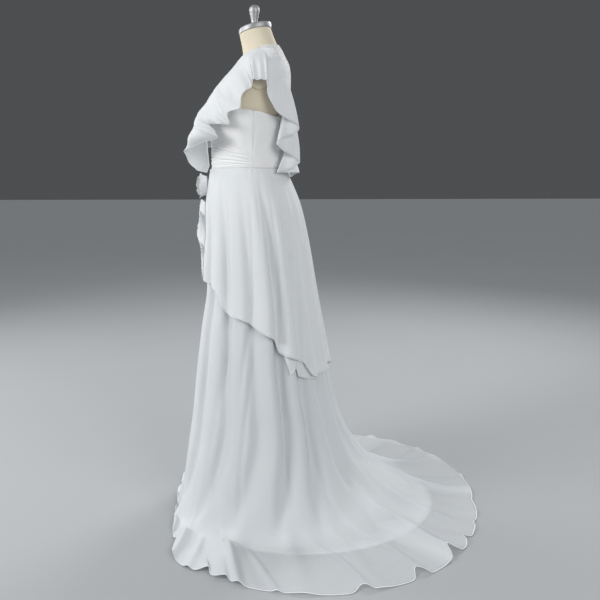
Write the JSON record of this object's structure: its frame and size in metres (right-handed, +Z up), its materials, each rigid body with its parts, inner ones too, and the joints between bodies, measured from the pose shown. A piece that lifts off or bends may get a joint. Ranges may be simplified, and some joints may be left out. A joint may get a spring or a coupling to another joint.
{
  "type": "wedding dress on a dress form",
  "caption": "Long white chiffon wedding dress with flounced V bodice, lace back yoke, open overskirt and a round train, on a limbless dress form with pole and round base.",
  "frame": {"origin": "on the floor at the centre of the stand's base, on its underside", "axes": "+Z up; the dress faces -Y and its train lies towards +Y; the wearer's left is +X"},
  "size_m": [1.0035, 1.0378, 1.681],
  "materials": {
    "chiffon": "sheer matt weave",
    "lace": "openwork floral net",
    "lining_satin": "soft sheen",
    "form_cover": "matt jersey-covered shell",
    "chrome_stand": "polished"
  },
  "bodies": {
    "root": {"arm_plate_left": "form_cover", "arm_plate_right": "form_cover", "base": "chrome_stand", "bodice_back_left": "chiffon", "bodice_back_right": "chiffon", "bodice_front_left": "chiffon", "bodice_front_right": "chiffon", "bodice_side_left": "chiffon", "bodice_side_right": "chiffon", "cascade_left": "chiffon", "cascade_right": "chiffon", "flounce_left": "chiffon", "flounce_right": "chiffon", "form_torso": "form_cover", "lace_yoke": "lace", "lining": "lining_satin", "neck_cap": "chrome_stand", "neck_knob": "chrome_stand", "overskirt": "chiffon", "pole": "chrome_stand", "skirt": "chiffon", "waist_rosette": "chiffon"}
  },
  "joints": []
}
